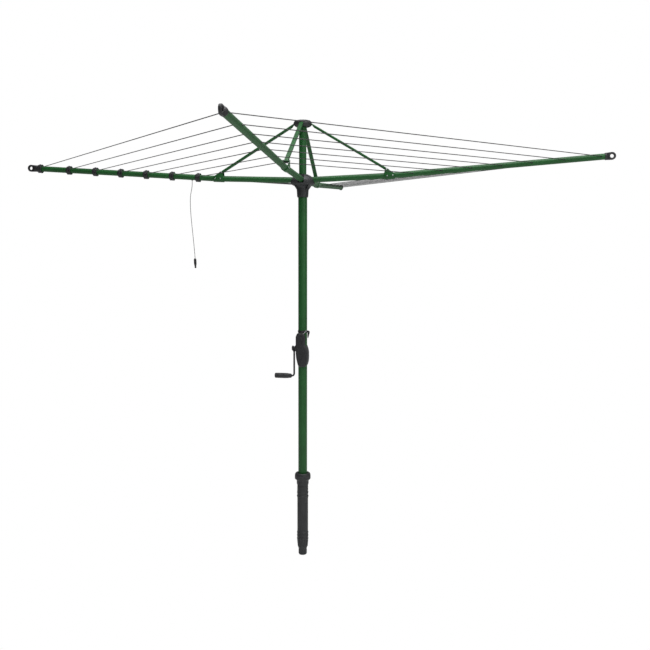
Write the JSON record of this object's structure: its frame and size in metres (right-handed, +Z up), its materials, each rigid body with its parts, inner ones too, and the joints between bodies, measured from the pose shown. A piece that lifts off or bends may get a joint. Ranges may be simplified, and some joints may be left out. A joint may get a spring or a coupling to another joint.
{
  "type": "rotary clothesline",
  "caption": "Folding rotary clothesline: square lines on hinged arms round a crank-raised mast that stands in a ground socket.",
  "frame": {"origin": "on the mast axis at the ground line, at the underside of the socket collar", "axes": "+Z up the mast; +X along the arm opposite the one with the line collars; -Y along the front arm"},
  "size_m": [3.2998, 3.2998, 2.4603],
  "materials": {
    "green_powder_coat": "satin dark green powder coat on steel tube",
    "charcoal_nylon": "fine-textured charcoal nylon",
    "black_nylon": "fine-textured black nylon",
    "zinc_steel": "zinc-plated steel",
    "dark_steel": "blackened steel",
    "acetal": "natural acetal",
    "pvc_line": "PVC-coated cored line",
    "pull_cord": "grey braided cord"
  },
  "bodies": {
    "ground_socket": {"ground_socket": "charcoal_nylon", "socket_collar": "charcoal_nylon"},
    "mast": {"outer_mast": "green_powder_coat", "mast_top_bush": "black_nylon", "screw_bearing": "black_nylon", "gearbox_front": "black_nylon", "gearbox_rear": "black_nylon", "clamp_band": "dark_steel"},
    "lift_screw": {"lift_screw": "zinc_steel", "bevel_gear": "zinc_steel"},
    "crank": {"bevel_pinion": "zinc_steel", "crank_hub": "black_nylon", "crank_arm": "dark_steel"},
    "crank_grip": {"crank_grip": "black_nylon"},
    "lock_lever": {"lock_lever": "black_nylon"},
    "carriage": {"lift_nut": "acetal"},
    "head": {"inner_mast": "green_powder_coat", "latch_collar": "black_nylon", "crown_body": "charcoal_nylon", "crown_cap": "charcoal_nylon", "crown_pin_ring": "zinc_steel"},
    "hub": {"hub_body": "charcoal_nylon", "hub_pin_ring": "zinc_steel", "line_1": "pvc_line", "line_2": "pvc_line", "line_3": "pvc_line", "line_4": "pvc_line", "line_5": "pvc_line", "line_6": "pvc_line", "line_7": "pvc_line"},
    "hub_latch": {"hub_latch": "black_nylon"},
    "pull_cord": {"pull_cord": "pull_cord", "cord_toggle": "black_nylon"},
    "arm_right": {"arm_right": "green_powder_coat", "tip_cap_right": "black_nylon", "bracket_right": "green_powder_coat", "strut_pin_right": "zinc_steel"},
    "strut_right": {"strut_right": "green_powder_coat"},
    "arm_front": {"arm_front": "green_powder_coat", "tip_cap_front": "black_nylon", "bracket_front": "green_powder_coat", "strut_pin_front": "zinc_steel"},
    "strut_front": {"strut_front": "green_powder_coat"},
    "arm_left": {"arm_left": "green_powder_coat", "tip_cap_left": "black_nylon", "bracket_left": "green_powder_coat", "strut_pin_left": "zinc_steel", "line_collar_1": "black_nylon", "line_collar_2": "black_nylon", "line_collar_3": "black_nylon", "line_collar_4": "black_nylon", "line_collar_5": "black_nylon", "line_collar_6": "black_nylon", "line_collar_7": "black_nylon"},
    "strut_left": {"strut_left": "green_powder_coat"},
    "arm_back": {"arm_back": "green_powder_coat", "tip_cap_back": "black_nylon", "bracket_back": "green_powder_coat", "strut_pin_back": "zinc_steel"},
    "strut_back": {"strut_back": "green_powder_coat"}
  },
  "joints": [
    {"name": "mast_lift_out", "type": "slide", "parent": "ground_socket", "child": "mast", "axis": [0, 0, 1], "range_m": [0, 0.35]},
    {"name": "crank_turn", "type": "hinge", "parent": "mast", "child": "crank", "pos_m": [0, 0, 0.755], "axis": [-1, 0, 0], "range_deg": [0, 9000]},
    {"name": "screw_turn", "type": "hinge", "parent": "mast", "child": "lift_screw", "pos_m": [0, 0, 0.755], "axis": [0, 0, 1], "range_deg": [0, 9000]},
    {"name": "mast_rise", "type": "slide", "parent": "mast", "child": "carriage", "axis": [0, 0, 1], "range_m": [0, 0.5]},
    {"name": "grip_spin", "type": "hinge", "parent": "crank", "child": "crank_grip", "pos_m": [-0.1, 0, 0.597], "axis": [-1, 0, 0], "continuous": true},
    {"name": "lever_swing", "type": "hinge", "parent": "mast", "child": "lock_lever", "pos_m": [0.031, 0, 0.8505], "axis": [0, -1, 0], "range_deg": [0, 120]},
    {"name": "head_spin", "type": "hinge", "parent": "carriage", "child": "head", "pos_m": [0, 0, 1], "axis": [0, 0, 1], "continuous": true},
    {"name": "hub_slide", "type": "slide", "parent": "head", "child": "hub", "axis": [0, 0, -1], "range_m": [0, 0.608], "deforming": ["line_1", "line_2", "line_3", "line_4", "line_5", "line_6", "line_7"]},
    {"name": "latch_pull", "type": "slide", "parent": "hub", "child": "hub_latch", "axis": [0, 1, 0], "range_m": [0, 0.004], "stiffness_N_per_m": 400},
    {"name": "arm_right_fold", "type": "hinge", "parent": "hub", "child": "arm_right", "pos_m": [0.05, 0, 1.696], "axis": [0, -1, 0], "range_deg": [0, 82.05]},
    {"name": "strut_right_fold", "type": "hinge", "parent": "arm_right", "child": "strut_right", "pos_m": [0.465, 0, 1.74511], "axis": [0, -1, 0], "range_deg": [-138.69, 0]},
    {"name": "arm_front_fold", "type": "hinge", "parent": "hub", "child": "arm_front", "pos_m": [0, -0.05, 1.696], "axis": [-1, 0, 0], "range_deg": [0, 82.05]},
    {"name": "strut_front_fold", "type": "hinge", "parent": "arm_front", "child": "strut_front", "pos_m": [0, -0.465, 1.74511], "axis": [-1, 0, 0], "range_deg": [-138.69, 0]},
    {"name": "arm_left_fold", "type": "hinge", "parent": "hub", "child": "arm_left", "pos_m": [-0.05, 0, 1.696], "axis": [0, 1, 0], "range_deg": [0, 82.05]},
    {"name": "strut_left_fold", "type": "hinge", "parent": "arm_left", "child": "strut_left", "pos_m": [-0.465, 0, 1.74511], "axis": [0, 1, 0], "range_deg": [-138.69, 0]},
    {"name": "arm_back_fold", "type": "hinge", "parent": "hub", "child": "arm_back", "pos_m": [0, 0.05, 1.696], "axis": [1, 0, 0], "range_deg": [0, 82.05]},
    {"name": "strut_back_fold", "type": "hinge", "parent": "arm_back", "child": "strut_back", "pos_m": [0, 0.465, 1.74511], "axis": [1, 0, 0], "range_deg": [-138.69, 0]},
    {"name": "cord_hang", "type": "hinge", "parent": "arm_left", "child": "pull_cord", "pos_m": [-0.64, 0, 1.7036], "axis": [0, 1, 0], "range_deg": [-72.05, 0]}
  ],
  "couplings": [
    {"joint": "screw_turn", "follows": "crank_turn", "ratio": 1},
    {"joint": "mast_rise", "follows": "crank_turn", "m_per_rad": 0.0031831},
    {"joint": "arm_right_fold", "follows": "hub_slide", "rad_per_m": 2.3539},
    {"joint": "strut_right_fold", "follows": "hub_slide", "rad_per_m": -3.9799},
    {"joint": "arm_front_fold", "follows": "hub_slide", "rad_per_m": 2.3539},
    {"joint": "strut_front_fold", "follows": "hub_slide", "rad_per_m": -3.9799},
    {"joint": "arm_left_fold", "follows": "hub_slide", "rad_per_m": 2.3539},
    {"joint": "strut_left_fold", "follows": "hub_slide", "rad_per_m": -3.9799},
    {"joint": "arm_back_fold", "follows": "hub_slide", "rad_per_m": 2.3539},
    {"joint": "strut_back_fold", "follows": "hub_slide", "rad_per_m": -3.9799},
    {"joint": "cord_hang", "follows": "hub_slide", "rad_per_m": -2.0668}
  ]
}
